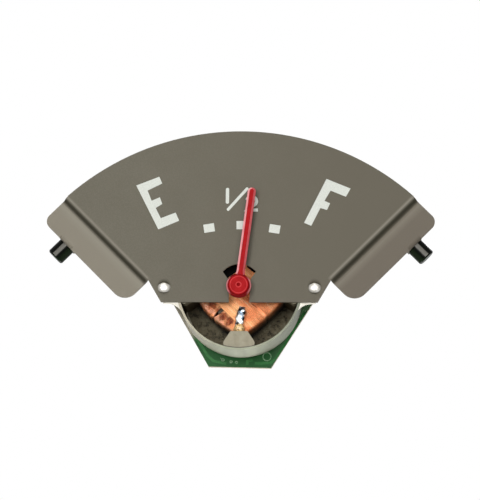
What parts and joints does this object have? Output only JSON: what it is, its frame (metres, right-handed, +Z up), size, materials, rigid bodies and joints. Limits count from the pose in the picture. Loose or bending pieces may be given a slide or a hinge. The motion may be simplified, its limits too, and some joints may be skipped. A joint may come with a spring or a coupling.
{
  "type": "fuel gauge",
  "caption": "Fan-shaped dial with folded-back side wings and locating pins, and a red pointer driven by crossed coils in a round steel cup with a board and rear studs.",
  "frame": {"origin": "on the pointer's axis, midway between the two rear studs, in the plane of the nuts' rear faces where the free threads start", "axes": "+Y runs along the pointer's axis and the studs, out of the back, so the dial faces -Y; +Z is up, and +X is to the right as seen from the front"},
  "size_m": [0.1018, 0.036, 0.0606],
  "materials": {
    "dial_paint": "satin warm grey enamel",
    "rivet_steel": "bright nickel plate",
    "pin_black": "gloss black",
    "cup_steel": "zinc plate, slightly dulled",
    "liner_board": "brown insulating fibre",
    "bobbin_plastic": "moulded, grey beige",
    "copper_wire": "enamelled copper wire",
    "tinned_wire": "tinned",
    "solder": "bright solder",
    "bearing_brass": "turned",
    "spindle_steel": "ground",
    "washer_nylon": "natural nylon",
    "magnet_ferrite": "dark sintered",
    "pointer_red": "gloss red",
    "sheet_fibre": "brown insulating fibre",
    "board_green": "green board with a clear lacquer",
    "screw_steel": "zinc plate",
    "resistor_body": "beige coating",
    "stud_brass": "plain",
    "bush_fibre": "red-brown fibre",
    "nut_brass": "plain"
  },
  "bodies": {
    "gauge": {"dial_plate": "dial_paint", "dial_rivets": "rivet_steel", "locating_pin_left": "pin_black", "locating_pin_right": "pin_black", "shield_cup": "cup_steel", "cup_liner": "liner_board", "bobbin_front": "bobbin_plastic", "bobbin_rear": "bobbin_plastic", "inner_coil_core": "copper_wire", "inner_coil_winding": "copper_wire", "outer_coil_core": "copper_wire", "outer_coil_winding": "copper_wire", "terminal_pins": "tinned_wire", "solder_joint": "solder", "front_bearing": "bearing_brass", "rear_bearing": "bearing_brass", "stop_pin": "spindle_steel", "board_sheet": "sheet_fibre", "circuit_board": "board_green", "board_solder": "solder", "board_screws": "screw_steel", "board_resistors": "resistor_body", "resistor_leads": "tinned_wire", "terminal_studs": "stud_brass", "fibre_bushes": "bush_fibre", "flat_washers": "screw_steel", "lock_washers": "screw_steel", "terminal_nuts": "nut_brass"},
    "pointer_assembly": {"pointer": "pointer_red", "pointer_cap": "pointer_red", "spindle": "spindle_steel", "thrust_washers": "washer_nylon", "rotor_magnet": "magnet_ferrite"}
  },
  "joints": [
    {"name": "pointer_swing", "type": "hinge", "parent": "gauge", "child": "pointer_assembly", "pos_m": [0, -0.025, 0], "axis": [0, 1, 0], "range_deg": [-53.2, 38.8]}
  ]
}
